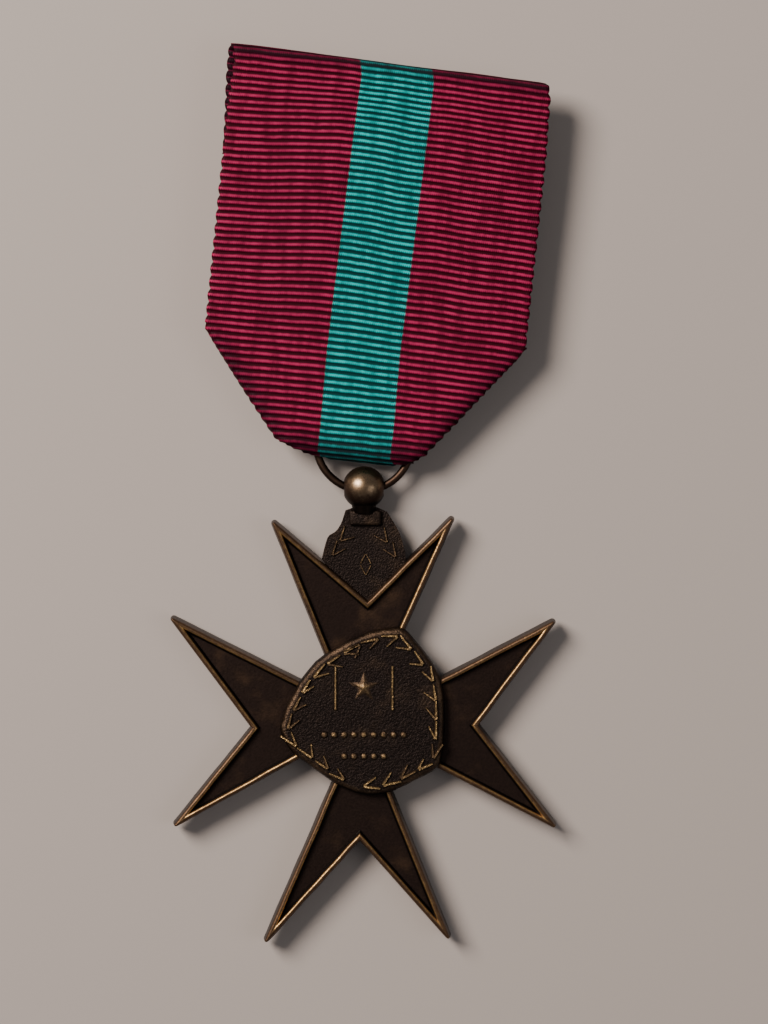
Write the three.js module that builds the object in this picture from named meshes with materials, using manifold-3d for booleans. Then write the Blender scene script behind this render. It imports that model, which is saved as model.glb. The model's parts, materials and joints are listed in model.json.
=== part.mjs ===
// A service medal: an eight-pointed bronze cross that hangs by a ball and ring from a tapered ribbon.
// Millimetres, +Z out of the medal's face, +Y towards the ribbon's top. The medal lies face up, and the
// origin is the middle of its footprint on the surface that it lies on.
import * as THREE from "three";
import { mergeVertices } from "three/addons/utils/BufferGeometryUtils.js";
import Module from "manifold-3d";

const wasm = await Module();
wasm.setup();

// ---- driving dimensions ----

const GAP = 0.3; // clearance between pieces that are soldered, sewn or riveted together

// Cross, measured from its middle. Arms run towards +Y, +X, -Y and -X, each with two tips and a notch.
const CROSS_BACK_Z = 1.2;
const CROSS_FIELD_Z = 2.9;
const CROSS_RIM_Z = 3.7;
const CROSS_OUTLINE = [
  [-11.4, 24.9], [0.4, 14.8], [11.4, 25.8], [2.1, 5], [5, 3.7],
  [23.3, 13.2], [13.5, 0.1], [23.5, -12.8], [5, -3.2], [2.3, -5],
  [11, -26.6], [-0.5, -13.6], [-12.7, -27.1], [-3.1, -5], [-5, -2.6],
  [-23.5, -12.8], [-13.3, -0.2], [-23.5, 13.5], [-5, 4.2], [-3.4, 5],
];
const WALL_DRAFT = 0.3;
const RIM_CREST = 0.25;
const RIM_SLOPE = 0.35;
const TIP_RADIUS = 0.4;
const TIP_SPREAD = 0.8; // how much of the tip's round is kept
const TIPS_BEYOND = 20; // corners further than this from the cross's middle are tips

// Medallion that covers the middle of the cross
const MEDALLION_OUTLINE = [
  [-9.9, -0.4], [-9.3, 1.9], [-7.8, 4.9], [-5.8, 7.4], [-4, 8.8], [-1.9, 10], [0.3, 11], [2.6, 11.5],
  [4.6, 11.6], [6.6, 9.3], [8.1, 7.3], [9, 5.6], [9.4, 2.8], [9.4, -0.8], [9.1, -3.9], [8.4, -5],
  [5.9, -6.3], [3.8, -7.4], [1.6, -8], [-0.6, -7.9], [-3.2, -6.8], [-6.3, -4.6], [-8.6, -2.9],
];
const MEDALLION_TOP_Z = 4.4;
const MEDALLION_BEVEL = 0.5;
const LEAF_PITCH = 2.35;
const LEAF_OUTER_LENGTH = 2.1;
const LEAF_INNER_LENGTH = 1.6;
const LEAF_INNER_TURN = 0.75;
const LEAF_INSET = 1.15;
const RIDGE_WIDTH = 0.32;
const RIDGE_HEIGHT = 0.25;
const RIDGE_ROOT = 0.1;
const STAR_RADIUS = 2.1;
const STAR_INNER_RADIUS = 0.88;
const STAR_Y = 4.6;
const BATON_X = 3.3;
const BATON_LENGTH = 5.6;
const BATON_WIDTH = 0.44;
const BEAD_ROWS = [
  { y: -0.9, beads: 9 },
  { y: -3.4, beads: 5 },
];
const BEAD_PITCH = 1.15;
const BEAD_RADIUS = 0.42;
const BEAD_TOP_RADIUS = 0.3;

// Rivets that hold the medallion, with round heads on the back that the cross lies on
const RIVET_X = 4.5;
const RIVET_Y = 1.5;
const RIVET_SHANK_RADIUS = 0.7;
const RIVET_HEAD_RADIUS = 1.6;
const RIVET_CROWN_RADIUS = 1.2;
const RIVET_EDGE_Z = 0.5;

// Suspender: a leaf-edged tab in the top notch, a ball on a short neck, and a ring through the ball
const TAB_TOP_Z = 2.6;
const TAB_OUTLINE = [
  [-1.7, 25], [-2.2, 23.4], [-2.9, 22.3], [-3.8, 21.8], [-4, 20.9], [-4.3, 19.35],
  [0.4, 15.4], [4.3, 19.3], [4, 21.1], [3.6, 22.6], [2.1, 25],
];
// Each leaf pair's root, and the directions of its outer and inner leaf in degrees
const TAB_LEAVES = [
  { x: -2.8, y: 21.4, outer: 72, inner: 15 },
  { x: -3.7, y: 19.8, outer: 72, inner: 28 },
  { x: 2.7, y: 21.4, outer: 101, inner: 151 },
  { x: 3.7, y: 19.6, outer: 101, inner: 147 },
];
const TAB_BUD_X = 0.2;
const TAB_BUD_Y = 18.8;
const TAB_BUD_HALF_WIDTH = 0.6;
const TAB_BUD_HALF_LENGTH = 1.3;
const FOOT_X = 0.15;
const FOOT_WIDTH = 3.7;
const FOOT_HEIGHT = 1.8;
const FOOT_TOP_Z = 3.2;
const BALL_RADIUS = 2.5;
const BALL_Y = 27.7;
const BALL_BORE_RADIUS = 1.05;
const NECK_TO_BORE = 0.2;
const NECK_RADIUS = 1.3;
const RING_RADIUS = 5.55;
const WIRE_RADIUS = 0.45;
const RING_HANG = 0.3; // how far the wire's middle lies below the bore's middle
const RING_Y = BALL_Y + RING_RADIUS - RING_HANG;

// Ribbon, in its own frame: the origin is the ring's middle, +Y runs up the ribbon. Heights are above
// the surface that the medal lies on, before the ribbon is turned by its lean and tilt.
const RIBBON_LEAN = THREE.MathUtils.degToRad(-6);
const RIBBON_TILT = THREE.MathUtils.degToRad(1.9);
const RIBBON_WIDTH = 37;
const RIBBON_THICKNESS = 0.55;
const RIBBON_TOP_Y = 44.6;
const TAPER_TOP_Y = 14.4;
const FOLD_WIDTH = 15;
const LOOP_WIDTH = 7.6;
const LOOP_CENTRE_Y = -0.1;
const FRONT_Z = 4.25;
const FLAP_Z = 3.42;
const BACK_Z = 0.5;
const BACK_STRIP_WIDTH = 12.3;
const BACK_TOP_Z = 2.95;
const TURN_DOWN_Z = 2.1;
const TURN_DOWN_END_Y = 31;
const BACK_RISE_START_Y = 23;
const BACK_RISE_END_Y = 30;
const BACK_END_Y = 42;
const LAYER = 0.45; // thickness of the layers behind the front one
const BACK_TOP_LAYER = 0.36; // thickness of the back layer where it is caught under the turned-down top
const STIFFENER_Z = 3.65;
const STIFFENER_THICKNESS = 0.3;
const STIFFENER_SIDE_MARGIN = 0.8;
const STIFFENER_TOP_MARGIN = 0.2;

// Brooch behind the ribbon's top
const BAR_Y = 36.75;
const BAR_WIDTH = 5.4;
const BAR_LENGTH = 33;
const BAR_Z = 1.2;
const BAR_THICKNESS = 0.6;
const BAR_CORNER = 1;
const PIN_Z = -0.4;
const PIN_RADIUS = 0.4;
const HINGE_X = -14.6;
const CATCH_X = 13.4;
const EYE_RADIUS = 0.78;
const EYE_BORE_RADIUS = 0.42;
const EYE_HEIGHT = 1.4;
const HINGE_RIVET_RADIUS = 0.25;
const HINGE_RIVET_HEAD_RADIUS = 0.5;
const HINGE_RIVET_HEAD = 0.25;
const RIVET_HOLE_CLEARANCE = 0.12;
const RIVET_END_CLEARANCE = 0.15;
const EAR_THICKNESS = 0.5;
const EAR_HALF_WIDTH = 0.8;
const BRACKET_Z = 0.9;
const BRACKET_HALF_LENGTH = 1.5;
const BRACKET_HALF_WIDTH = 1.1;
const BRACKET_THICKNESS = 0.4;
const PIN_POINT_LENGTH = 2;
const PIN_POINT_RADIUS = 0.08;
const CATCH_CLEARANCE = 0.2;
const CATCH_THICKNESS = 0.3;
const CATCH_HALF_WIDTH = 0.7;
const CATCH_BASE_HALF_LENGTH = 1.3;
const CATCH_BASE_OVERLAP = 0.15;
const THREAD = 0.35;
const STITCHES = [
  { name: "stitch_far_left", x: -12 },
  { name: "stitch_left", x: -8.5 },
  { name: "stitch_right", x: 7 },
  { name: "stitch_far_right", x: 10.5 },
];

// ---- materials ----

const bronze = { color: 0x2b211b, roughness: 0.5, metalness: 0.9 };
const wornBronze = { color: 0x5a4025, roughness: 0.35, metalness: 1 };
const crimson = { color: 0x5a0a20, roughness: 0.85, metalness: 0 };
const steel = { color: 0x8b8880, roughness: 0.4, metalness: 1 };
const card = { color: 0x6d5f4c, roughness: 0.9, metalness: 0 };
const thread = { color: 0x3a0512, roughness: 0.9, metalness: 0 };

// ---- helpers ----

function solid(geometry) {
  const bare = geometry.index ? geometry.toNonIndexed() : geometry.clone();
  bare.deleteAttribute("normal");
  bare.deleteAttribute("uv");
  const merged = mergeVertices(bare, 1e-4);
  return new wasm.Manifold(
    new wasm.Mesh({
      numProp: 3,
      vertProperties: new Float32Array(merged.attributes.position.array),
      triVerts: new Uint32Array(merged.index.array),
    }),
  );
}

function piece(name, manifold, look) {
  const { vertProperties, triVerts } = manifold.getMesh();
  const geometry = new THREE.BufferGeometry();
  geometry.setAttribute("position", new THREE.BufferAttribute(vertProperties, 3));
  geometry.setIndex(new THREE.BufferAttribute(triVerts, 1));
  geometry.computeVertexNormals();
  const mesh = new THREE.Mesh(geometry, new THREE.MeshStandardMaterial(look));
  mesh.name = name;
  return mesh;
}

function shapeOf(points) {
  return new THREE.Shape(points.map(([x, y]) => new THREE.Vector2(x, y)));
}

// A flat plate with the given outline between two heights
function plate(points, bottom, top) {
  const geometry = new THREE.ExtrudeGeometry(shapeOf(points), { depth: top - bottom, bevelEnabled: false });
  return geometry.translate(0, 0, bottom);
}

function area(points) {
  return THREE.ShapeUtils.area(points.map(([x, y]) => ({ x, y })));
}

// The outline moved inwards by a distance, with its corners kept sharp
function inset(points, distance) {
  const side = Math.sign(area(points));
  return points.map((point, i) => {
    const before = points.at(i - 1);
    const after = points[(i + 1) % points.length];
    const [ax, ay] = direction(before, point);
    const [bx, by] = direction(point, after);
    const turn = 1 + ax * bx + ay * by;
    return [point[0] - (side * distance * (ay + by)) / turn, point[1] + (side * distance * (ax + bx)) / turn];
  });
}

function direction(from, to) {
  const length = Math.hypot(to[0] - from[0], to[1] - from[1]);
  return [(to[0] - from[0]) / length, (to[1] - from[1]) / length];
}

// A plate whose outline changes from one height to the other, as drafted and bevelled walls do
function taperedPlate(lower, upper, bottom, top) {
  const geometry = plate(lower, bottom, top);
  const position = geometry.attributes.position;
  for (let i = 0; i < position.count; i++) {
    if (position.getZ(i) > (bottom + top) / 2) {
      const [px, py] = [position.getX(i), position.getY(i)];
      const nearest = lower.findIndex(([x, y]) => Math.hypot(x - px, y - py) < 1e-4);
      position.setXY(i, ...upper[nearest]);
    }
  }
  return geometry;
}

// A side profile, drawn in Y and Z, run across the medal between two X places
function acrossX(points, left, right) {
  const geometry = new THREE.ExtrudeGeometry(shapeOf(points), { depth: right - left, bevelEnabled: false });
  geometry.applyMatrix4(new THREE.Matrix4().set(0, 0, 1, 0, 1, 0, 0, 0, 0, 1, 0, 0, 0, 0, 0, 1));
  return geometry.translate(left, 0, 0);
}

function arc(cx, cy, radius, from, to, steps) {
  return Array.from({ length: steps + 1 }, (_, i) => {
    const angle = THREE.MathUtils.degToRad(from + ((to - from) * i) / steps);
    return [cx + radius * Math.cos(angle), cy + radius * Math.sin(angle)];
  });
}

function box(x0, x1, y0, y1, z0, z1) {
  const geometry = new THREE.BoxGeometry(x1 - x0, y1 - y0, z1 - z0);
  return geometry.translate((x0 + x1) / 2, (y0 + y1) / 2, (z0 + z1) / 2);
}

// The outline with each sharp tip rounded by a few points
function roundTips(points, radius) {
  return points.flatMap((point, i) => {
    const [ax, ay] = direction(point, points.at(i - 1));
    const [bx, by] = direction(point, points[(i + 1) % points.length]);
    const half = Math.acos(ax * bx + ay * by) / 2;
    if (Math.hypot(...point) < TIPS_BEYOND) return [point];
    const reach = radius / Math.sin(half);
    const middle = Math.hypot(ax + bx, ay + by);
    const cx = point[0] + ((ax + bx) / middle) * reach;
    const cy = point[1] + ((ay + by) / middle) * reach;
    const start = Math.atan2(point[1] - cy, point[0] - cx);
    return [1, 0, -1].map((k) => {
      const angle = start + k * (Math.PI / 2 - half) * TIP_SPREAD;
      return [cx + radius * Math.cos(angle), cy + radius * Math.sin(angle)];
    });
  });
}

// ---- cross ----

// A cast plate with a raised rim round a sunk field. The rim stops where the medallion sits.
function makeCross() {
  const bottomOutline = roundTips(CROSS_OUTLINE, TIP_RADIUS);
  const topOutline = roundTips(inset(CROSS_OUTLINE, WALL_DRAFT), TIP_RADIUS - WALL_DRAFT / 2);
  const body = solid(taperedPlate(bottomOutline, topOutline, CROSS_BACK_Z, CROSS_RIM_Z));
  const crest = WALL_DRAFT + RIM_CREST;
  const depth = CROSS_RIM_Z - CROSS_FIELD_Z;
  const above = 0.4;
  const pocket = taperedPlate(
    inset(CROSS_OUTLINE, crest + RIM_SLOPE),
    inset(CROSS_OUTLINE, crest - (RIM_SLOPE * above) / depth),
    CROSS_FIELD_Z,
    CROSS_RIM_Z + above,
  );
  const seat = plate(inset(MEDALLION_OUTLINE, -GAP), CROSS_FIELD_Z, CROSS_RIM_Z + above);
  let cross = body.subtract(solid(pocket)).subtract(solid(seat));
  for (const side of [-1, 1]) {
    const radius = RIVET_SHANK_RADIUS + GAP;
    const hole = new THREE.CylinderGeometry(radius, radius, 2 * CROSS_RIM_Z, 16);
    hole.rotateX(Math.PI / 2).translate(side * RIVET_X, RIVET_Y, CROSS_FIELD_Z);
    cross = cross.subtract(solid(hole));
  }
  return piece("cross_body", cross, bronze);
}

// One thin raised ridge from a foot point, in a given direction
function ridge(x, y, angle, length, top) {
  const bar = new THREE.BoxGeometry(length, RIDGE_WIDTH, RIDGE_HEIGHT + RIDGE_ROOT);
  bar.translate(length / 2, 0, top + (RIDGE_HEIGHT - RIDGE_ROOT) / 2);
  return bar.rotateZ(angle).translate(x, y, 0);
}

// Points spaced evenly along a closed outline, each with the direction of the outline there
function walk(points, pitch) {
  const curve = new THREE.CurvePath();
  points.forEach(([x, y], i) => {
    const [nx, ny] = points[(i + 1) % points.length];
    curve.add(new THREE.LineCurve(new THREE.Vector2(x, y), new THREE.Vector2(nx, ny)));
  });
  const count = Math.round(curve.getLength() / pitch);
  return Array.from({ length: count }, (_, i) => {
    const at = curve.getPointAt(i / count);
    const on = curve.getTangentAt(i / count);
    return { x: at.x, y: at.y, angle: Math.atan2(on.y, on.x) };
  });
}

// A pad with a bevelled edge, a wreath of paired leaf ridges, a star, two batons and two rows of beads
function makeMedallion() {
  const bottom = CROSS_FIELD_Z + GAP;
  const face = inset(MEDALLION_OUTLINE, MEDALLION_BEVEL);
  let pad = solid(taperedPlate(MEDALLION_OUTLINE, face, bottom, MEDALLION_TOP_Z));
  const add = (geometry) => {
    pad = pad.add(solid(geometry));
  };
  for (const leaf of walk(inset(MEDALLION_OUTLINE, LEAF_INSET), LEAF_PITCH)) {
    const climbs = leaf.x < -1 ? 0 : Math.PI;
    const lean = leaf.x < -1 ? -LEAF_INNER_TURN : LEAF_INNER_TURN;
    add(ridge(leaf.x, leaf.y, leaf.angle + climbs, LEAF_OUTER_LENGTH, MEDALLION_TOP_Z));
    add(ridge(leaf.x, leaf.y, leaf.angle + climbs + lean, LEAF_INNER_LENGTH, MEDALLION_TOP_Z));
  }
  const top = MEDALLION_TOP_Z + RIDGE_HEIGHT;
  const star = Array.from({ length: 10 }, (_, i) => {
    const radius = i % 2 ? STAR_INNER_RADIUS : STAR_RADIUS;
    const angle = Math.PI / 2 + (i * Math.PI) / 5;
    return [radius * Math.cos(angle), STAR_Y + radius * Math.sin(angle)];
  });
  add(plate(star, MEDALLION_TOP_Z - RIDGE_ROOT, top));
  for (const side of [-1, 1]) {
    const left = side * BATON_X - BATON_WIDTH / 2;
    const foot = STAR_Y - BATON_LENGTH / 2;
    add(box(left, left + BATON_WIDTH, foot, foot + BATON_LENGTH, MEDALLION_TOP_Z - RIDGE_ROOT, top));
  }
  for (const row of BEAD_ROWS) {
    for (let i = 0; i < row.beads; i++) {
      const bead = new THREE.CylinderGeometry(BEAD_TOP_RADIUS, BEAD_RADIUS, RIDGE_HEIGHT + RIDGE_ROOT, 8);
      const x = (i - (row.beads - 1) / 2) * BEAD_PITCH;
      add(bead.rotateX(Math.PI / 2).translate(x, row.y, MEDALLION_TOP_Z + (RIDGE_HEIGHT - RIDGE_ROOT) / 2));
    }
  }
  return piece("medallion", pad, bronze);
}

function makeRivet(name, side) {
  const headTop = CROSS_BACK_Z - GAP;
  const profile = [
    [0, 0],
    [RIVET_CROWN_RADIUS, 0],
    [RIVET_HEAD_RADIUS, RIVET_EDGE_Z],
    [RIVET_HEAD_RADIUS, headTop],
    [RIVET_SHANK_RADIUS, headTop],
    [RIVET_SHANK_RADIUS, CROSS_FIELD_Z],
    [0, CROSS_FIELD_Z],
  ];
  const lathe = new THREE.LatheGeometry(profile.map(([r, z]) => new THREE.Vector2(r, z)), 16);
  lathe.rotateX(Math.PI / 2);
  return piece(name, solid(lathe.translate(side * RIVET_X, RIVET_Y, 0)), wornBronze);
}

// ---- suspender ----

function makeTab() {
  let tab = solid(plate(TAB_OUTLINE, CROSS_BACK_Z, TAB_TOP_Z));
  const footTop = TAB_OUTLINE[0][1];
  const footLeft = FOOT_X - FOOT_WIDTH / 2;
  const foot = box(footLeft, footLeft + FOOT_WIDTH, footTop - FOOT_HEIGHT, footTop, CROSS_BACK_Z, FOOT_TOP_Z);
  tab = tab.add(solid(foot));
  for (const leaf of TAB_LEAVES) {
    const [outer, inner] = [leaf.outer, leaf.inner].map(THREE.MathUtils.degToRad);
    tab = tab.add(solid(ridge(leaf.x, leaf.y, outer, LEAF_INNER_LENGTH, TAB_TOP_Z)));
    tab = tab.add(solid(ridge(leaf.x, leaf.y, inner, LEAF_INNER_LENGTH, TAB_TOP_Z)));
  }
  const bud = [
    [TAB_BUD_X, TAB_BUD_Y + TAB_BUD_HALF_LENGTH], [TAB_BUD_X - TAB_BUD_HALF_WIDTH, TAB_BUD_Y],
    [TAB_BUD_X, TAB_BUD_Y - TAB_BUD_HALF_LENGTH], [TAB_BUD_X + TAB_BUD_HALF_WIDTH, TAB_BUD_Y],
  ];
  tab = tab.add(solid(plate(bud, TAB_TOP_Z - RIDGE_ROOT, TAB_TOP_Z + RIDGE_HEIGHT)));
  return piece("suspender_tab", tab, bronze);
}

// The ball is bored from side to side for the ring, and its neck stands on the tab's foot.
function makeBall() {
  const neckEnd = TAB_OUTLINE[0][1] + GAP;
  const ball = new THREE.SphereGeometry(BALL_RADIUS, 24, 14).translate(0, BALL_Y, BALL_RADIUS);
  const neckTop = BALL_Y - BALL_BORE_RADIUS - NECK_TO_BORE;
  const neck = new THREE.CylinderGeometry(NECK_RADIUS, NECK_RADIUS, neckTop - neckEnd, 16);
  neck.translate(0, (neckTop + neckEnd) / 2, BALL_RADIUS);
  const bore = new THREE.CylinderGeometry(BALL_BORE_RADIUS, BALL_BORE_RADIUS, BALL_RADIUS * 3, 16);
  bore.rotateZ(Math.PI / 2).translate(0, BALL_Y, BALL_RADIUS);
  return piece("suspension_ball", solid(ball).add(solid(neck)).subtract(solid(bore)), wornBronze);
}

function makeRing() {
  const ring = new THREE.TorusGeometry(RING_RADIUS, WIRE_RADIUS, 8, 40).translate(0, RING_Y, BALL_RADIUS);
  return piece("suspension_ring", solid(ring), wornBronze);
}

// ---- ribbon ----

const half = RIBBON_WIDTH / 2;
const foldHalf = FOLD_WIDTH / 2;
const loopTopZ = FRONT_Z + RIBBON_THICKNESS;
const loopRadius = (loopTopZ - BACK_Z) / 2;
const loopZ = (loopTopZ + BACK_Z) / 2;
const rollRadius = (loopTopZ - TURN_DOWN_Z) / 2;
const rollY = RIBBON_TOP_Y - rollRadius;

function makeRibbonFront() {
  const bottom = LOOP_CENTRE_Y + GAP;
  const outline = [
    [-foldHalf, bottom], [foldHalf, bottom], [half, TAPER_TOP_Y],
    [half, rollY - GAP], [-half, rollY - GAP], [-half, TAPER_TOP_Y],
  ];
  return piece("ribbon_front", solid(plate(outline, FRONT_Z, loopTopZ)), crimson);
}

// The cloth outside the taper is folded behind it: the corner triangle, mirrored in the taper's edge.
function makeRibbonFlap(name, side) {
  const foot = new THREE.Vector2(foldHalf, LOOP_CENTRE_Y + GAP);
  const top = new THREE.Vector2(half, TAPER_TOP_Y);
  const edge = top.clone().sub(foot).normalize();
  const corner = new THREE.Vector2(half, foot.y).sub(foot);
  const mirrored = edge.clone().multiplyScalar(2 * corner.dot(edge)).sub(corner).add(foot);
  const triangle = [foot, top, mirrored].map((point) => [side * point.x, point.y]);
  return piece(name, solid(plate(inset(triangle, GAP / 2), FLAP_Z, FLAP_Z + LAYER)), crimson);
}

// The roll at the ribbon's foot. Its shoulders stay in front of the ring, and its middle passes through.
function makeRibbonLoop() {
  const roll = [
    ...arc(LOOP_CENTRE_Y, loopZ, loopRadius, 90, 270, 14),
    ...arc(LOOP_CENTRE_Y, loopZ, loopRadius - RIBBON_THICKNESS, 270, 90, 14),
  ];
  const ringTop = BALL_RADIUS + WIRE_RADIUS + GAP;
  const aboveRing = box(-half, half, -half, half, ringTop, half);
  const shoulders = solid(acrossX(roll, -foldHalf, foldHalf)).intersect(solid(aboveRing));
  const middle = solid(acrossX(roll, -LOOP_WIDTH / 2, LOOP_WIDTH / 2));
  return piece("ribbon_loop", middle.add(shoulders), crimson);
}

// The narrow end comes up behind the ring and is caught under the turned-down top.
function makeRibbonBack() {
  const start = LOOP_CENTRE_Y + GAP;
  const face = BACK_TOP_Z + BACK_TOP_LAYER;
  const profile = [
    [start, BACK_Z], [BACK_RISE_START_Y, BACK_Z], [BACK_RISE_END_Y, BACK_TOP_Z], [BACK_END_Y, BACK_TOP_Z],
    [BACK_END_Y, face], [BACK_RISE_END_Y, face], [BACK_RISE_START_Y, BACK_Z + LAYER], [start, BACK_Z + LAYER],
  ];
  const strip = acrossX(profile, -BACK_STRIP_WIDTH / 2, BACK_STRIP_WIDTH / 2);
  return piece("ribbon_back", solid(strip), crimson);
}

// The top rolls over the stiffener and is turned down behind it.
function makeRibbonTopFold() {
  const profile = [
    ...arc(rollY, loopTopZ - rollRadius, rollRadius, 90, -90, 12),
    [TURN_DOWN_END_Y, TURN_DOWN_Z],
    [TURN_DOWN_END_Y, TURN_DOWN_Z + LAYER],
    ...arc(rollY, loopTopZ - rollRadius, rollRadius - LAYER, -90, 90, 12),
  ];
  return piece("ribbon_top_fold", solid(acrossX(profile, -half, half)), crimson);
}

function makeStiffener() {
  const side = half - STIFFENER_SIDE_MARGIN;
  const end = rollY - STIFFENER_TOP_MARGIN;
  const strip = box(-side, side, TURN_DOWN_END_Y, end, STIFFENER_Z, STIFFENER_Z + STIFFENER_THICKNESS);
  return piece("stiffener", solid(strip), card);
}

// ---- brooch ----

function makeBar() {
  const end = BAR_LENGTH / 2;
  const low = BAR_Y - BAR_WIDTH / 2;
  const high = BAR_Y + BAR_WIDTH / 2;
  const outline = [
    [-end + BAR_CORNER, low], [end - BAR_CORNER, low], [end, low + BAR_CORNER], [end, high - BAR_CORNER],
    [end - BAR_CORNER, high], [-end + BAR_CORNER, high], [-end, high - BAR_CORNER], [-end, low + BAR_CORNER],
  ];
  return piece("brooch_bar", solid(plate(outline, BAR_Z, BAR_Z + BAR_THICKNESS)), steel);
}

// Two ears on a base, soldered to the bar, that carry the hinge rivet
function makeHingeBracket() {
  const [left, right] = [HINGE_X - BRACKET_HALF_WIDTH, HINGE_X + BRACKET_HALF_WIDTH];
  const [low, high] = [BAR_Y - BRACKET_HALF_LENGTH, BAR_Y + BRACKET_HALF_LENGTH];
  let bracket = solid(box(left, right, low, high, BRACKET_Z - BRACKET_THICKNESS, BRACKET_Z));
  for (const start of [low, high - EAR_THICKNESS]) {
    const [earLeft, earRight] = [HINGE_X - EAR_HALF_WIDTH, HINGE_X + EAR_HALF_WIDTH];
    const ear = box(earLeft, earRight, start, start + EAR_THICKNESS, PIN_Z - EYE_RADIUS, BRACKET_Z);
    bracket = bracket.add(solid(ear));
  }
  const holeRadius = HINGE_RIVET_RADIUS + RIVET_HOLE_CLEARANCE;
  const hole = new THREE.CylinderGeometry(holeRadius, holeRadius, 4 * BRACKET_HALF_LENGTH, 12);
  return piece("hinge_bracket", bracket.subtract(solid(hole.translate(HINGE_X, BAR_Y, PIN_Z))), steel);
}

function makeHingeRivet() {
  const neck = BRACKET_HALF_LENGTH + RIVET_END_CLEARANCE;
  const end = neck + HINGE_RIVET_HEAD;
  const profile = [
    [0, -end], [HINGE_RIVET_HEAD_RADIUS, -end], [HINGE_RIVET_HEAD_RADIUS, -neck], [HINGE_RIVET_RADIUS, -neck],
    [HINGE_RIVET_RADIUS, neck], [HINGE_RIVET_HEAD_RADIUS, neck], [HINGE_RIVET_HEAD_RADIUS, end], [0, end],
  ];
  const lathe = new THREE.LatheGeometry(profile.map(([r, y]) => new THREE.Vector2(r, y)), 12);
  return piece("hinge_rivet", solid(lathe.translate(HINGE_X, BAR_Y, PIN_Z)), steel);
}

function makePinStem() {
  const eye = new THREE.CylinderGeometry(EYE_RADIUS, EYE_RADIUS, EYE_HEIGHT, 16);
  eye.translate(HINGE_X, BAR_Y, PIN_Z);
  const bore = new THREE.CylinderGeometry(EYE_BORE_RADIUS, EYE_BORE_RADIUS, 2 * EYE_HEIGHT, 16);
  bore.translate(HINGE_X, BAR_Y, PIN_Z);
  const start = HINGE_X + (EYE_BORE_RADIUS + EYE_RADIUS) / 2;
  const shoulder = CATCH_X + CATCH_HALF_WIDTH;
  const point = shoulder + PIN_POINT_LENGTH;
  const profile = [
    [0, start], [PIN_RADIUS, start], [PIN_RADIUS, shoulder], [PIN_POINT_RADIUS, point], [0, point],
  ];
  const stem = new THREE.LatheGeometry(profile.map(([r, x]) => new THREE.Vector2(r, x)), 12);
  stem.rotateZ(-Math.PI / 2).translate(0, BAR_Y, PIN_Z);
  return piece("pin_stem", solid(eye).add(solid(stem)).subtract(solid(bore)), steel);
}

// A strip bent into a hook round the pin, open on the side that the pin swings out of
function makeCatch() {
  const inner = PIN_RADIUS + CATCH_CLEARANCE;
  const outer = inner + CATCH_THICKNESS;
  const hook = [...arc(BAR_Y, PIN_Z, outer, -45, 225, 16), ...arc(BAR_Y, PIN_Z, inner, 225, -45, 16)];
  const [left, right] = [CATCH_X - CATCH_HALF_WIDTH, CATCH_X + CATCH_HALF_WIDTH];
  const [low, high] = [BAR_Y - CATCH_BASE_HALF_LENGTH, BAR_Y + CATCH_BASE_HALF_LENGTH];
  const base = box(left, right, low, high, PIN_Z + outer - CATCH_BASE_OVERLAP, BRACKET_Z);
  return piece("catch_hook", solid(acrossX(hook, left, right)).add(solid(base)), steel);
}

// A thread bound over the bar, from the cloth on one side to the cloth on the other
function makeStitch(name, x) {
  const low = BAR_Y - BAR_WIDTH / 2 - GAP;
  const high = BAR_Y + BAR_WIDTH / 2 + GAP;
  const bottom = BAR_Z - GAP - THREAD;
  const top = TURN_DOWN_Z - GAP;
  const profile = [
    [low - THREAD, top], [low - THREAD, bottom], [high + THREAD, bottom], [high + THREAD, top],
    [high, top], [high, bottom + THREAD], [low, bottom + THREAD], [low, top],
  ];
  return piece(name, solid(acrossX(profile, x - THREAD / 2, x + THREAD / 2)), thread);
}

// ---- assembly ----

const ribbon = new THREE.Group();
ribbon.add(
  makeRibbonFront(),
  makeRibbonFlap("ribbon_flap_left", -1),
  makeRibbonFlap("ribbon_flap_right", 1),
  makeRibbonLoop(),
  makeRibbonBack(),
  makeRibbonTopFold(),
  makeStiffener(),
  makeBar(),
  makeHingeBracket(),
  makeHingeRivet(),
  makePinStem(),
  makeCatch(),
  ...STITCHES.map(({ name, x }) => makeStitch(name, x)),
);
for (const part of ribbon.children) part.geometry.translate(0, 0, -BALL_RADIUS);
ribbon.position.set(0, RING_Y, BALL_RADIUS);
ribbon.rotation.set(RIBBON_TILT, 0, RIBBON_LEAN, "ZXY");

const medal = new THREE.Group();
medal.add(
  makeCross(),
  makeMedallion(),
  makeRivet("medallion_rivet_left", -1),
  makeRivet("medallion_rivet_right", 1),
  makeTab(),
  makeBall(),
  makeRing(),
  ribbon,
);

const footprint = new THREE.Box3().setFromObject(medal, true);
const middle = footprint.getCenter(new THREE.Vector3());
medal.position.set(-middle.x, -middle.y, -footprint.min.z);

export default medal;
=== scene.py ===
import json
import math
import random

import bmesh
import bpy
from mathutils import Matrix, Vector, noise


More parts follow.
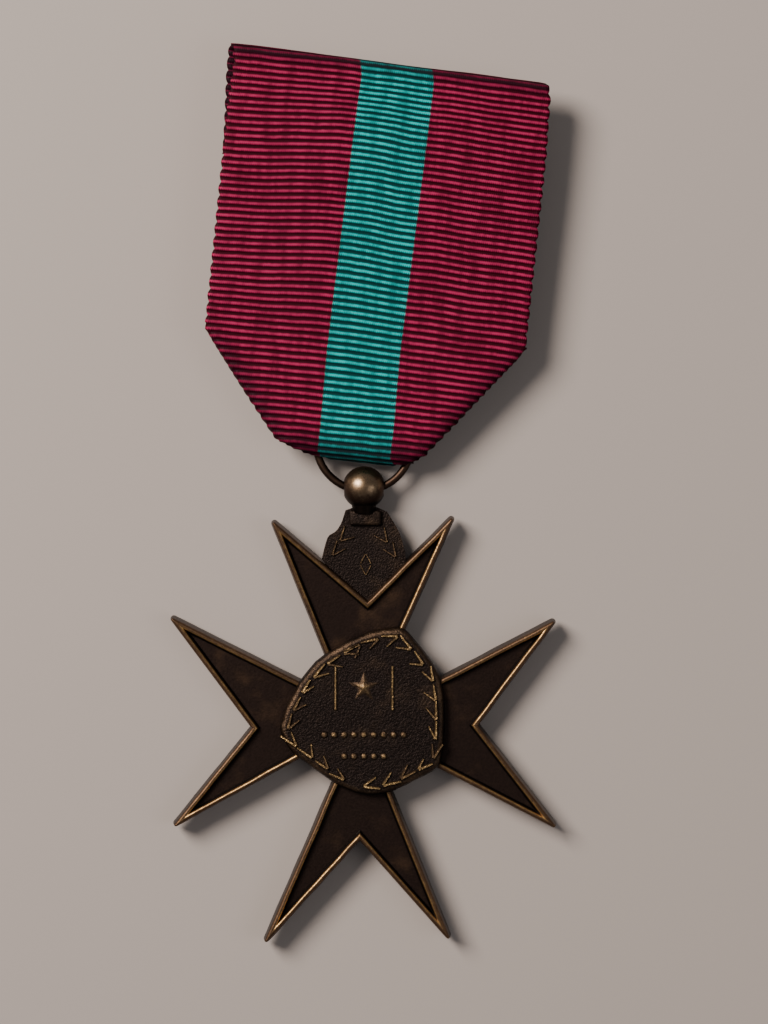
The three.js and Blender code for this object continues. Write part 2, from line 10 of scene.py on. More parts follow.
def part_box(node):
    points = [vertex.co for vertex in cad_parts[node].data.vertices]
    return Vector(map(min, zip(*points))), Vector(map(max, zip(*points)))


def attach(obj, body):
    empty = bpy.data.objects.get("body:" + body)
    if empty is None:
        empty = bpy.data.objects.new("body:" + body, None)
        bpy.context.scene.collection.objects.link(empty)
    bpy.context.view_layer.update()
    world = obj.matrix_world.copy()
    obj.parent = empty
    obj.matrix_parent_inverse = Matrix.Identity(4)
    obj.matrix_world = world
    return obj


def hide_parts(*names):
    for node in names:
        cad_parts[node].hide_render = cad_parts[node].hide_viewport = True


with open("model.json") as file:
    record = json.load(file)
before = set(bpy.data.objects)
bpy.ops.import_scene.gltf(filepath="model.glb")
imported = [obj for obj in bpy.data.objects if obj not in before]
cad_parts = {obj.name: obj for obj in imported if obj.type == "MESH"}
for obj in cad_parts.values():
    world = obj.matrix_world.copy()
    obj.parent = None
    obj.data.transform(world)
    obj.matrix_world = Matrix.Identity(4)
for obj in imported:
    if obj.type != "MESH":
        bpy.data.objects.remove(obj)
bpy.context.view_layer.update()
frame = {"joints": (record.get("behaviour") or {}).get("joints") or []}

# ---------------------------------------------------------------------------
# Cross. One cast plate of antique bronze with four notched arms. A rounded rim
# stands round a sunk field, and the rim is rubbed to dull gold where it is handled.
# ---------------------------------------------------------------------------
MM = 0.001
ball_low, ball_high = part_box("suspension_ball")
cross_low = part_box("cross_body")[0]
BALL_TOP_TO_CENTRE = 30.2 * MM
CROSS_CENTRE = Vector(((ball_low[0] + ball_high[0]) / 2, ball_high[1] - BALL_TOP_TO_CENTRE, cross_low[2]))
CROSS_TIPS_AND_NOTCHES = [
    (-11.4, 24.9), (0.4, 14.8), (11.4, 25.8), (2.1, 5.0), (5.0, 3.7),
    (23.3, 13.2), (13.5, 0.1), (23.5, -12.8), (5.0, -3.2), (2.3, -5.0),
    (11.0, -26.6), (-0.5, -13.6), (-12.7, -27.1), (-3.1, -5.0), (-5.0, -2.6),
    (-23.5, -12.8), (-13.3, -0.2), (-23.5, 13.5), (-5.0, 4.2), (-3.4, 5.0),
]
CROSS_TIP_RADIUS = 0.4
LEAST_TIP_RADIUS = 0.02
TIPS_BEYOND = 20
POINT_SPACING = 1.1
# How far in from the edge each line of the wall and rim lies, how high it is, and how worn it is
CROSS_SECTION = [
    (0.00, 0.00, 0.0), (0.00, 0.10, 0.0), (0.08, 1.00, 0.05), (0.18, 1.95, 0.3), (0.23, 2.25, 0.45),
    (0.30, 2.40, 0.55), (0.39, 2.47, 0.5), (0.52, 2.50, 0.5), (0.64, 2.48, 0.72), (0.72, 2.42, 0.95),
    (0.78, 2.28, 0.6), (0.84, 1.98, 0.05), (0.90, 1.78, -0.15), (1.00, 1.70, -0.1), (1.15, 1.70, 0.0),
]


def unit(x, y):
    length = math.hypot(x, y)
    return x / length, y / length


def inset_corner(before, point, after, distance):
    """A corner of a clockwise outline, moved in so that both its sides move by the distance."""
    ax, ay = unit(point[0] - before[0], point[1] - before[1])
    bx, by = unit(after[0] - point[0], after[1] - point[1])
    turn = 1 + ax * bx + ay * by
    return point[0] + distance * (ay + by) / turn, point[1] - distance * (ax + bx) / turn


def round_tip(before, point, after, distance):
    """A tip of the cross, rounded by an arc and moved in by the distance."""
    to_before = unit(before[0] - point[0], before[1] - point[1])
    to_after = unit(after[0] - point[0], after[1] - point[1])
    half = math.acos(to_before[0] * to_after[0] + to_before[1] * to_after[1]) / 2
    inward = unit(to_before[0] + to_after[0], to_before[1] + to_after[1])
    reach = max(CROSS_TIP_RADIUS, distance + LEAST_TIP_RADIUS) / math.sin(half)
    radius = max(CROSS_TIP_RADIUS - distance, LEAST_TIP_RADIUS)
    centre = (point[0] + inward[0] * reach, point[1] + inward[1] * reach)
    outward = math.atan2(-inward[1], -inward[0])
    spread = math.pi / 2 - half
    turns = [outward + k * spread for k in (1, 0.66, 0.33, 0, -0.33, -0.66, -1)]
    return [(centre[0] + radius * math.cos(turn), centre[1] + radius * math.sin(turn)) for turn in turns]


def cross_outline(distance):
    """The cross's outline at a distance in from its edge, with round tips and points along its sides."""
    corners = []
    count = len(CROSS_TIPS_AND_NOTCHES)
    for i, point in enumerate(CROSS_TIPS_AND_NOTCHES):
        before = CROSS_TIPS_AND_NOTCHES[i - 1]
        after = CROSS_TIPS_AND_NOTCHES[(i + 1) % count]
        if math.hypot(*point) < TIPS_BEYOND:
            corners.append([inset_corner(before, point, after, distance)])
        else:
            corners.append(round_tip(before, point, after, distance))
    points = []
    for i, corner in enumerate(corners):
        points += corner
        x, y = corner[-1]
        end_x, end_y = corners[(i + 1) % count][0]
        side_length = math.dist(CROSS_TIPS_AND_NOTCHES[i], CROSS_TIPS_AND_NOTCHES[(i + 1) % count])
        steps = round(side_length / POINT_SPACING)
        points += [(x + (end_x - x) * k / steps, y + (end_y - y) * k / steps) for k in range(1, steps)]
    return points


def loft(bm, loops, wear):
    """Closed solid through a stack of loops, with a worn value for each loop on its vertices.

    The walls are laid point to point, because neighbouring loops may lie at one height.
    """
    rings = []
    for points, worn in loops:
        verts = [bm.verts.new(p) for p in points]
        for v in verts:
            v[wear] = worn
        rings.append(verts)
    for lower, upper in zip(rings, rings[1:]):
        for i in range(len(lower)):
            bm.faces.new((lower[i - 1], lower[i], upper[i], upper[i - 1]))
    for verts in (rings[0], rings[-1]):
        edges = [bm.edges.get((verts[i - 1], verts[i])) for i in range(len(verts))]
        bmesh.ops.triangle_fill(bm, edges=edges, use_beauty=True)
    bmesh.ops.recalc_face_normals(bm, faces=bm.faces)


def in_cross(bm, verts, z):
    """Moves vertices drawn in millimetres about the cross's middle to where they belong."""
    place = Matrix.Translation((CROSS_CENTRE.x, CROSS_CENTRE.y, z)) @ Matrix.Scale(MM, 4)
    bmesh.ops.transform(bm, matrix=place, verts=verts)


def piece_from(bm, name, material, sharp=35):
    """A named object from a bmesh, smooth except along edges sharper than the given angle."""
    mesh = bpy.data.meshes.new(name)
    bm.to_mesh(mesh)
    bm.free()
    mesh.shade_smooth()
    mesh.set_sharp_from_angle(angle=math.radians(sharp))
    mesh.materials.append(material)
    obj = bpy.data.objects.new(name, mesh)
    bpy.context.scene.collection.objects.link(obj)
    return obj


def linear(code):
    """Linear colour, with alpha, from a hex code."""
    channels = [int(code[i : i + 2], 16) / 255 for i in (0, 2, 4)]
    return [c / 12.92 if c <= 0.04045 else ((c + 0.055) / 1.055) ** 2.4 for c in channels] + [1]


class Wires:
    """Short calls for adding nodes to a material or group and wiring them."""

    def __init__(self, tree):
        self.tree = tree

    def node(self, kind, **settings):
        made = self.tree.nodes.new(kind)
        for key, value in settings.items():
            setattr(made, key, value)
        return made

    def link(self, out, into):
        self.tree.links.new(out, into)

    def put(self, socket, value):
        if isinstance(value, bpy.types.NodeSocket):
            self.link(value, socket)
        else:
            socket.default_value = value

    def math(self, operation, a, b=0.0, clamp=False):
        made = self.node("ShaderNodeMath", operation=operation, use_clamp=clamp)
        self.put(made.inputs[0], a)
        self.put(made.inputs[1], b)
        return made.outputs[0]

    def mix(self, factor, a, b, blend="MIX"):
        made = self.node("ShaderNodeMix", data_type="RGBA", blend_type=blend)
        self.put(made.inputs[0], factor)
        self.put(made.inputs[6], a)
        self.put(made.inputs[7], b)
        return made.outputs[2]

    def ramp(self, value, low, high):
        made = self.node("ShaderNodeMapRange", interpolation_type="SMOOTHSTEP")
        self.put(made.inputs["Value"], value)
        made.inputs["From Min"].default_value = low
        made.inputs["From Max"].default_value = high
        return made.outputs["Result"]

    def noise(self, where, scale, detail=4.0, rough=0.6):
        made = self.node("ShaderNodeTexNoise")
        self.put(made.inputs["Vector"], where)
        made.inputs["Scale"].default_value = scale
        made.inputs["Detail"].default_value = detail
        made.inputs["Roughness"].default_value = rough
        return made.outputs["Fac"]

    def bump(self, height, strength, distance):
        made = self.node("ShaderNodeBump")
        self.put(made.inputs["Height"], height)
        made.inputs["Strength"].default_value = strength
        made.inputs["Distance"].default_value = distance
        return made.outputs["Normal"]


def new_material(name):
    material = bpy.data.materials.new(name)
    material.use_nodes = True
    return material, Wires(material.node_tree), material.node_tree.nodes["Principled BSDF"]


def antique_metal_group():
    """Dark patina broken by rubbed metal. Worn is the mask that a piece gives; the group roughens it."""
    group = bpy.data.node_groups.new("antique_metal", "ShaderNodeTree")
    for name, kind in [
        ("Place", "NodeSocketVector"), ("Worn", "NodeSocketFloat"), ("Patina", "NodeSocketColor"),
        ("Brown", "NodeSocketColor"), ("Rubbed", "NodeSocketColor"), ("Pits", "NodeSocketFloat"),
    ]:
        group.interface.new_socket(name, in_out="INPUT", socket_type=kind)
    for name, kind in [
        ("Colour", "NodeSocketColor"), ("Roughness", "NodeSocketFloat"), ("Height", "NodeSocketFloat"),
    ]:
        group.interface.new_socket(name, in_out="OUTPUT", socket_type=kind)
    w = Wires(group)
    given = w.node("NodeGroupInput")
    result = w.node("NodeGroupOutput")
    place = given.outputs["Place"]
    blotch = w.noise(place, 240, 4, 0.55)
    grain = w.noise(place, 4200, 2, 0.5)
    sand = w.noise(place, 9000, 2, 0.5)
    scuff = w.noise(place, 1500, 5, 0.7)
    patchy = w.math("MULTIPLY", w.math("SUBTRACT", scuff, 0.5), 0.7)
    rub = w.ramp(w.math("ADD", given.outputs["Worn"], patchy), 0.5, 1.05)
    drift = w.math("MULTIPLY", w.math("SUBTRACT", blotch, 0.5), 1.1)
    warm = w.ramp(w.math("ADD", given.outputs["Worn"], drift), 0.0, 0.55)
    base = w.mix(warm, given.outputs["Patina"], given.outputs["Brown"])
    colour = w.mix(rub, base, given.outputs["Rubbed"])
    dirt = w.ramp(given.outputs["Worn"], 0.0, -0.15)
    pitting = w.math("MULTIPLY", given.outputs["Pits"], 0.3)
    pores = w.math("MULTIPLY", w.ramp(grain, 0.55, 0.3), pitting, clamp=True)
    dark = w.mix(pores, colour, linear("0a0706"))
    w.link(w.mix(w.math("MULTIPLY", dirt, 0.8), dark, linear("070504")), result.inputs["Colour"])
    rough = w.math("ADD", w.math("MULTIPLY", rub, -0.16), w.math("MULTIPLY", grain, 0.22))
    w.link(w.math("ADD", rough, 0.34, clamp=True), result.inputs["Roughness"])
    pitted = w.math("MULTIPLY", w.math("ADD", grain, w.math("MULTIPLY", sand, 0.5)), given.outputs["Pits"])
    w.link(w.math("ADD", pitted, w.math("MULTIPLY", scuff, 0.35)), result.inputs["Height"])
    return group


ANTIQUE_METAL = antique_metal_group()


def bronze_material(name, patina, brown, rubbed_and_lit, pits, metallic=0.9, bump=0.5):
    """Antique bronze that takes its rubbed places from the mesh's wear attribute."""
    material, w, shader = new_material(name)
    place = w.node("ShaderNodeTexCoord").outputs["Object"]
    wear = w.node("ShaderNodeAttribute", attribute_name="wear").outputs["Fac"]
    metal = w.node("ShaderNodeGroup", node_tree=ANTIQUE_METAL)
    w.link(place, metal.inputs["Place"])
    w.link(wear, metal.inputs["Worn"])
    metal.inputs["Patina"].default_value = linear(patina)
    metal.inputs["Brown"].default_value = linear(brown)
    metal.inputs["Rubbed"].default_value = linear(rubbed_and_lit)
    metal.inputs["Pits"].default_value = pits
    w.link(metal.outputs["Colour"], shader.inputs["Base Color"])
    w.link(metal.outputs["Roughness"], shader.inputs["Roughness"])
    w.link(w.bump(metal.outputs["Height"], bump, 0.00008), shader.inputs["Normal"])
    shader.inputs["Metallic"].default_value = metallic
    return material


CAST_BRONZE = bronze_material("cast_bronze", "271b16", "543d2b", "bd935c", 0.45)
# How far filing by hand has left the walls off true
HAND_FINISH = 0.05


def make_cross():
    bm = bmesh.new()
    wear = bm.verts.layers.float.new("wear")
    loops = []
    for distance, height, worn in CROSS_SECTION:
        points = []
        for x, y in cross_outline(distance):
            hand = HAND_FINISH * noise.noise(Vector((x * 0.35, y * 0.35, height * 0.2)))
            points.append((x + hand, y - hand, height))
        loops.append((points, worn))
    loft(bm, loops, wear)
    in_cross(bm, bm.verts, CROSS_CENTRE.z)
    return piece_from(bm, "cross_casting", CAST_BRONZE)


cross = make_cross()
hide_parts("cross_body")
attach(cross, "cross")

# ---------------------------------------------------------------------------
# Medallion. A thicker cast pad riveted over the middle of the cross, with a rough
# ground, a wreath of leaf pairs round its edge, and plain raised ornament inside it.
# ---------------------------------------------------------------------------
MEDALLION_EDGE = [
    (-9.9, -0.4), (-9.3, 1.9), (-7.8, 4.9), (-5.8, 7.4), (-4.0, 8.8), (-1.9, 10.0),
    (0.3, 11.0), (2.6, 11.5), (4.6, 11.6), (6.6, 9.3), (8.1, 7.3), (9.0, 5.6),
    (9.4, 2.8), (9.4, -0.8), (9.1, -3.9), (8.4, -5.0), (5.9, -6.3), (3.8, -7.4),
    (1.6, -8.0), (-0.6, -7.9), (-3.2, -6.8), (-6.3, -4.6), (-8.6, -2.9),
]
MEDALLION_SECTION = [
    (0.00, 0.0, 0.0), (0.00, 0.25, 0.0), (0.06, 0.60, 0.1), (0.18, 0.90, 0.2), (0.34, 1.06, 0.35),
    (0.52, 1.14, 0.3), (0.75, 1.16, 0.05), (1.10, 1.16, 0.0),
]
MEDALLION_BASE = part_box("medallion")[0][2]
MEDALLION_FACE = MEDALLION_BASE + MEDALLION_SECTION[-1][1] * MM
CAST_ROUGHNESS = 0.10
LEAF_PITCH = 2.3
LEAF_INSET = 1.0
OUTER_LEAF_WIDTH = 0.54
OUTER_LEAF_HEIGHT = 0.27
INNER_LEAF_WIDTH = 0.48
INNER_LEAF_HEIGHT = 0.23

PITTED_BRONZE = bronze_material("pitted_bronze", "1f1612", "4e3b2b", "a8875a", 1.6, bump=0.7)


def inset_loop(points, distance):
    count = len(points)
    return [inset_corner(points[i - 1], points[i], points[(i + 1) % count], distance) for i in range(count)]


def rounded(points, rounds=2):
    """Cuts each corner, and the corners that leaves, so that a few points make a soft outline."""
    for _ in range(rounds):
        cut = []
        for i, (x, y) in enumerate(points):
            nx, ny = points[(i + 1) % len(points)]
            cut += [(x * 0.8 + nx * 0.2, y * 0.8 + ny * 0.2), (x * 0.2 + nx * 0.8, y * 0.2 + ny * 0.8)]
        points = cut
    return points


def along(points, pitch):
    """Even steps along a closed outline: each step's place and the direction of the outline there."""
    lengths = [math.dist(points[i], points[(i + 1) % len(points)]) for i in range(len(points))]
    steps = round(sum(lengths) / pitch)
    spacing = sum(lengths) / steps
    found, travelled, side = [], 0.0, 0
    for k in range(steps):
        while k * spacing > travelled + lengths[side]:
            travelled += lengths[side]
            side += 1
        a, b = points[side], points[(side + 1) % len(points)]
        part = (k * spacing - travelled) / lengths[side]
        x, y = a[0] + (b[0] - a[0]) * part, a[1] + (b[1] - a[1]) * part
        found.append((x, y, math.atan2(b[1] - a[1], b[0] - a[0])))
    return found


def add_ridge(bm, wear, x, y, angle, length, width, height, worn, taper=0.55):
    """One raised line of the relief: a bar with a narrow crest, thicker at its root than at its end."""
    made = bmesh.ops.create_cube(bm, size=1.0)
    verts = made["verts"]
    for v in verts:
        far = v.co.x > 0
        top = v.co.z > 0
        wide = width * (taper if far else 1.0) * (0.42 if top else 1.25)
        v[wear] = worn if top else worn * 0.15
        run = length * (0.96 if far else 0.02)
        if top:
            run += -0.1 if far else 0.08
        v.co = Vector((run, math.copysign(wide / 2, v.co.y), height if top else -0.1))
    bmesh.ops.transform(bm, matrix=Matrix.Rotation(angle, 4, "Z"), verts=verts)
    bmesh.ops.transform(bm, matrix=Matrix.Translation((x, y, 0)), verts=verts)
    return verts


def make_medallion():
    bm = bmesh.new()
    wear = bm.verts.layers.float.new("wear")
    loops = []
    for distance, height, worn in MEDALLION_SECTION:
        points = []
        for x, y in rounded(inset_loop(MEDALLION_EDGE, distance)):
            rough = CAST_ROUGHNESS * noise.noise(Vector((x * 0.8, y * 0.8, 3.0)))
            points.append((x + rough, y - rough, height))
        loops.append((points, worn))
    loft(bm, loops, wear)
    in_cross(bm, bm.verts, MEDALLION_BASE)
    chance = random.Random(7)
    relief = []
    for x, y, angle in along(inset_loop(MEDALLION_EDGE, LEAF_INSET), LEAF_PITCH):
        climbs = 0 if x < -1 else math.pi
        lean = -1 if x < -1 else 1
        turn = lean * chance.uniform(0.55, 0.85)
        outer = chance.uniform(2.0, 2.5)
        inner = chance.uniform(1.6, 2.1)
        worn = chance.uniform(0.65, 0.95)
        along_edge = angle + climbs + chance.uniform(-0.1, 0.1)
        across_edge = angle + climbs + turn
        relief += add_ridge(bm, wear, x, y, along_edge, outer, OUTER_LEAF_WIDTH, OUTER_LEAF_HEIGHT, worn)
        relief += add_ridge(
            bm, wear, x, y, across_edge, inner, INNER_LEAF_WIDTH, INNER_LEAF_HEIGHT, worn * 0.85
        )
    in_cross(bm, relief, MEDALLION_FACE)
    return piece_from(bm, "medallion_pad", PITTED_BRONZE)


medallion = make_medallion()
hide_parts("medallion")
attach(medallion, "cross")

# The plain ornament inside the wreath: a star between two batons, over two rows of beads.
STAR_Y = 4.6
STAR_POINT_RADIUS = 2.1
STAR_NOTCH_RADIUS = 0.86
STAR_HEIGHT = 0.3
BATON_X = 3.3
BATON_FOOT_Y = 1.8
BATON_LENGTH = 5.6
BATON_WIDTH = 0.42
BATON_HEIGHT = 0.24
BEAD_ROWS = [(-0.9, 9), (-3.4, 5)]
BEAD_PITCH = 1.15
BEAD_RADIUS = 0.43
BEAD_FLATTENING = 0.55


def make_ornament():
    bm = bmesh.new()
    wear = bm.verts.layers.float.new("wear")
    star_centre = Vector((0, STAR_Y, 0))
    rim = []
    for i in range(10):
        radius = STAR_NOTCH_RADIUS if i % 2 else STAR_POINT_RADIUS
        angle = math.pi / 2 + i * math.pi / 5
        v = bm.verts.new(star_centre + Vector((radius * math.cos(angle), radius * math.sin(angle), -0.05)))
        v[wear] = 0.35
        rim.append(v)
    peak = bm.verts.new(star_centre + Vector((0, 0, STAR_HEIGHT)))
    peak[wear] = 0.8
    for i in range(10):
        bm.faces.new((rim[i - 1], rim[i], peak))
    bm.faces.new(rim)
    for x in (-BATON_X, BATON_X):
        add_ridge(
            bm, wear, x, BATON_FOOT_Y, math.pi / 2, BATON_LENGTH, BATON_WIDTH, BATON_HEIGHT,
            worn=0.75, taper=0.8,
        )
    for row_y, beads in BEAD_ROWS:
        for k in range(beads):
            bead = bmesh.ops.create_icosphere(bm, subdivisions=2, radius=BEAD_RADIUS)["verts"]
            for v in bead:
                v[wear] = max(0.0, v.co.z / BEAD_RADIUS) * 0.75
                v.co.z *= BEAD_FLATTENING
            bmesh.ops.translate(bm, vec=((k - (beads - 1) / 2) * BEAD_PITCH, row_y, 0.0), verts=bead)
    bmesh.ops.recalc_face_normals(bm, faces=bm.faces)
    in_cross(bm, bm.verts, MEDALLION_FACE)
    return piece_from(bm, "medallion_ornament", PITTED_BRONZE)


ornament = make_ornament()
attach(ornament, "cross")

# ---------------------------------------------------------------------------
# Suspender tab. A leaf-edged cast tongue soldered into the top arm's notch, lower
# than the rims, with a squared foot that the ball's neck stands on.
# ---------------------------------------------------------------------------
TAB_EDGE = [
    (-1.7, 25.0), (-2.2, 23.4), (-2.9, 22.3), (-3.8, 21.8), (-4.1, 20.9), (-4.5, 19.2),
    (-0.3, 15.6), (0.4, 15.0), (1.1, 15.65), (4.5, 19.05), (4.1, 21.1), (3.6, 22.6), (2.1, 25.0),
]
# Where each leaf pair starts, and the directions in degrees of its outer and its inner leaf
TAB_LEAVES = [(-2.8, 21.5, 72, 15), (-3.7, 19.8, 72, 28), (2.7, 21.3, 101, 151), (3.7, 19.6, 101, 147)]
TAB_SECTION = [(0.0, 0.0, 0.0), (0.0, 1.0, 0.1), (0.10, 1.28, 0.35), (0.25, 1.38, 0.3), (0.45, 1.40, 0.0)]
TAB_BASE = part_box("suspender_tab")[0][2]
TAB_BUD = [(0.2, 20.1), (-0.45, 18.8), (0.2, 17.5), (0.85, 18.8)]
FOOT_SIZE = (3.7, 1.8, 2.0)
FOOT_CENTRE = (0.15, 24.2, 1.0)


def make_tab():
    bm = bmesh.new()
    wear = bm.verts.layers.float.new("wear")
    loops = []
    for distance, height, worn in TAB_SECTION:
        ring = rounded(inset_loop(TAB_EDGE[::-1], -distance), 1)
        loops.append(([(x, y, height) for x, y in ring], worn))
    loft(bm, loops, wear)
    in_cross(bm, bm.verts, TAB_BASE)
    relief = []
    for x, y, outer_turn, inner_turn in TAB_LEAVES:
        relief += add_ridge(bm, wear, x, y, math.radians(outer_turn), 2.0, 0.36, 0.24, worn=0.6)
        relief += add_ridge(bm, wear, x, y, math.radians(inner_turn), 1.9, 0.34, 0.22, worn=0.55)
    for i, (x, y) in enumerate(TAB_BUD):
        nx, ny = TAB_BUD[(i + 1) % 4]
        angle = math.atan2(ny - y, nx - x)
        length = math.dist((x, y), (nx, ny))
        relief += add_ridge(bm, wear, x, y, angle, length, 0.24, 0.16, worn=0.6, taper=1.0)
    in_cross(bm, relief, TAB_BASE + TAB_SECTION[-1][1] * MM)
    foot = bmesh.ops.create_cube(bm, size=1.0)["verts"]
    for v in foot:
        v[wear] = 0.18
    place = Matrix.Translation(FOOT_CENTRE) @ Matrix.Diagonal((*FOOT_SIZE, 1.0))
    bmesh.ops.transform(bm, matrix=place, verts=foot)
    edges = list({e for v in foot for e in v.link_edges})
    bmesh.ops.bevel(bm, geom=edges, offset=0.32, segments=4, profile=0.5, affect="EDGES", material=-1)
    # The bevel makes new vertices, and only the foot's are still in millimetres
    foot = [v for v in bm.verts if v.co.length > 1]
    in_cross(bm, foot, TAB_BASE)
    return piece_from(bm, "suspender_leaf", PITTED_BRONZE)


tab = make_tab()
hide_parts("suspender_tab")
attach(tab, "cross")

# ---------------------------------------------------------------------------
# Ball. A turned bronze ball on a short neck, drilled from side to side for the
# ring. Its front is rubbed bright and its back keeps the brown patina; its upper side is lighter as painted
# light and its lower side darker as painted shade.
# ---------------------------------------------------------------------------
ring_low, ring_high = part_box("suspension_ring")
RING_CENTRE = (Vector(ring_low) + Vector(ring_high)) / 2
BALL_RADIUS = 2.5 * MM
BORE_RADIUS = 0.62 * MM
BORE_FLARE_RADIUS = 1.0 * MM
NECK_TOP_RADIUS = 1.5 * MM
NECK_FOOT_RADIUS = 1.25 * MM
NECK_LENGTH = 1.2 * MM
NECK_Y = -2.35 * MM
BALL_CENTRE = Vector((CROSS_CENTRE.x, ball_high[1] - BALL_RADIUS, ball_low[2] + BALL_RADIUS))
BALL_BRONZE = bronze_material("rubbed_bronze", "1a130f", "413026", "8f755a", 0.12, metallic=1.0, bump=0.25)


def lathe(bm, profile, steps):
    """Spins a half section, given as radius and height in metres, round the Z axis and closes it."""
    verts = [bm.verts.new((r, 0, z)) for r, z in profile]
    edges = [bm.edges.new(pair) for pair in zip(verts, verts[1:])]
    bmesh.ops.spin(
        bm, geom=verts + edges, cent=(0, 0, 0), axis=(0, 0, 1), angle=math.tau, steps=steps, use_merge=True
    )
    bmesh.ops.remove_doubles(bm, verts=bm.verts, dist=1e-7)
    bmesh.ops.recalc_face_normals(bm, faces=bm.faces)


def make_ball():
    bore_end = 0.9 * MM
    profile = [(BORE_RADIUS, bore_end), (BORE_RADIUS, -bore_end)]
    lip = math.asin(BORE_FLARE_RADIUS / BALL_RADIUS)
    for k in range(29):
        angle = lip + (math.pi - 2 * lip) * k / 28
        profile.append((BALL_RADIUS * math.sin(angle), -BALL_RADIUS * math.cos(angle)))
    profile.append((BORE_RADIUS, bore_end))
    bm = bmesh.new()
    wear = bm.verts.layers.float.new("wear")
    lathe(bm, profile, 48)
    bmesh.ops.rotate(bm, cent=(0, 0, 0), matrix=Matrix.Rotation(math.pi / 2, 3, "Y"), verts=bm.verts)
    for v in bm.verts:
        # Rubbed metal at the front is wear; the lighter upper side is painted light and the darker lower
        # side is painted shade
        rubbed_and_lit = 0.15 + (0.75 * v.co.z + 0.45 * v.co.y) / BALL_RADIUS
        v[wear] = max(0.0, min(1.0, rubbed_and_lit))
    cone = bmesh.ops.create_cone(
        bm, cap_ends=True, segments=32, radius1=NECK_FOOT_RADIUS, radius2=NECK_TOP_RADIUS, depth=NECK_LENGTH
    )
    neck = cone["verts"]
    bmesh.ops.rotate(bm, cent=(0, 0, 0), matrix=Matrix.Rotation(-math.pi / 2, 3, "X"), verts=neck)
    bmesh.ops.translate(bm, vec=(0, NECK_Y, 0), verts=neck)
    for v in neck:
        v[wear] = 0.1
    bmesh.ops.translate(bm, vec=BALL_CENTRE, verts=bm.verts)
    return piece_from(bm, "ball", BALL_BRONZE, sharp=50)


ball = make_ball()
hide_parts("suspension_ball")
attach(ball, "cross")

# ---------------------------------------------------------------------------
# Ring. Round bronze wire bent to a ring and threaded through the ball, with its
# soldered joint hidden in the ribbon's fold.
# ---------------------------------------------------------------------------
WIRE_RADIUS = (ring_high[2] - ring_low[2]) / 2
RING_RADIUS = (ring_high[0] - ring_low[0]) / 2 - WIRE_RADIUS


def make_ring():
    bm = bmesh.new()
    wear = bm.verts.layers.float.new("wear")
    section = bmesh.ops.create_circle(bm, segments=20, radius=WIRE_RADIUS, cap_ends=False)["verts"]
    bmesh.ops.rotate(bm, cent=(0, 0, 0), matrix=Matrix.Rotation(math.pi / 2, 3, "X"), verts=section)
    bmesh.ops.translate(bm, vec=(RING_RADIUS, 0, 0), verts=section)
    edges = list(bm.edges)
    bmesh.ops.spin(
        bm, geom=section + edges, cent=(0, 0, 0), axis=(0, 0, 1), angle=math.tau, steps=96, use_merge=True
    )
    bmesh.ops.remove_doubles(bm, verts=bm.verts, dist=1e-7)
    bmesh.ops.recalc_face_normals(bm, faces=bm.faces)
    for v in bm.verts:
        v[wear] = 0.1 + 0.4 * max(0.0, v.co.z / WIRE_RADIUS)
    bmesh.ops.translate(bm, vec=RING_CENTRE, verts=bm.verts)
    return piece_from(bm, "ring", BALL_BRONZE)


ring = make_ring()
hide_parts("suspension_ring")
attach(ring, "ring")

# ---------------------------------------------------------------------------
# Ribbon. One strip of ribbed silk ribbon with looped selvedges, crimson with a green
# stripe. It is turned down behind its top, folded in at both sides of its foot,
# and rolled through the ring, and its end comes back up behind the ring.
# ---------------------------------------------------------------------------
RIBBON_HALF = 18.5
RIB_PITCH = 0.77
RIB_HEIGHT = 0.10
CLOTH_THICKNESS = 0.28
ROWS_PER_RIB = 6
LOOP_Y = -0.25
LOOP_RADIUS = 1.9
LOOP_Z = 0.125
FRONT_Z = LOOP_Z + LOOP_RADIUS
BACK_Z = LOOP_Z - LOOP_RADIUS
# Where the side folds begin and how wide the folded foot is, on the left and on the right
TAPER_TOP = {-1: 11.6, 1: 13.4}
FOLD_HALF = {-1: 9.1, 1: 7.9}
FRONT_SHIFT = -0.75
TOP_SHIFT = -1.1
TOP_NARROWING = 0.012
ROLL_RADIUS = 1.1
ROLL_Y = 42.5
TURN_DOWN_LENGTH = 11.5
BACK_RISE = (23.0, 30.0, 42.0)
BACK_TOP_Z = 0.63
RIBBON_SKEW = 0.024
ribbon_up = Vector(next(j for j in frame["joints"] if j["name"] == "pin_hinge")["axis"]).normalized()
ribbon_right = Vector((ribbon_up.y, -ribbon_up.x, 0)).normalized()
ribbon_out = ribbon_right.cross(ribbon_up)
FRONT_LENGTH = ROLL_Y - LOOP_Y
ROLL_LENGTH = math.pi * ROLL_RADIUS
LOOP_LENGTH = math.pi * LOOP_RADIUS
BACK_LENGTH = BACK_RISE[2] - LOOP_Y


def smooth(value, low, high):
    t = max(0.0, min(1.0, (value - low) / (high - low)))
    return t * t * (3 - 2 * t)


